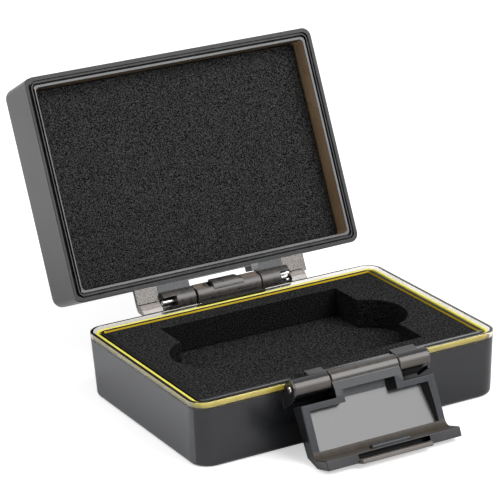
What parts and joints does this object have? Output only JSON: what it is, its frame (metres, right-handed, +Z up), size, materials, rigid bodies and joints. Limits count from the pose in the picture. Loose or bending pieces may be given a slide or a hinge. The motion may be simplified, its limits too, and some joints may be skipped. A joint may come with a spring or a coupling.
{
  "type": "battery case",
  "caption": "Hinged clear-smoke case with foam inserts for small batteries, a rubber rim seal and an over-the-top latch.",
  "frame": {"origin": "centre of the base's flat underside", "axes": "+X to the right along the hinge, +Y to the back where the lid is hinged, +Z up; the lid is open on its stop and the latch hangs open at rest"},
  "size_m": [0.1, 0.1483, 0.0896],
  "materials": {
    "base_shell": "satin smoke-grey, slightly see-through",
    "seal_ring": "smooth",
    "base_foam_tray": "open-cell foam, matt",
    "base_foam_floor": "open-cell foam, matt",
    "base_foam_tape": "adhesive sheet",
    "latch_pin": "turned steel",
    "lid_shell": "satin smoke-grey, slightly see-through",
    "lid_foam_pad": "open-cell foam, matt",
    "lid_foam_tape": "adhesive sheet",
    "hinge_pin": "turned steel, knurled at one end",
    "latch": "satin smoke-grey, polished tray"
  },
  "bodies": {
    "base": {"base_shell": "base_shell", "seal_ring": "seal_ring", "base_foam_tray": "base_foam_tray", "base_foam_floor": "base_foam_floor", "base_foam_tape": "base_foam_tape", "latch_pin": "latch_pin"},
    "lid": {"lid_shell": "lid_shell", "lid_foam_pad": "lid_foam_pad", "lid_foam_tape": "lid_foam_tape", "hinge_pin": "hinge_pin"},
    "latch": {"latch": "latch"}
  },
  "joints": [
    {"name": "lid_hinge", "type": "hinge", "parent": "base", "child": "lid", "pos_m": [0, 0.04, 0.02075], "axis": [1, 0, 0], "range_deg": [0, 113.33]},
    {"name": "latch_hinge", "type": "hinge", "parent": "base", "child": "latch", "pos_m": [0, -0.0392, 0.0194], "axis": [1, 0, 0], "range_deg": [-155.8, 22]}
  ]
}
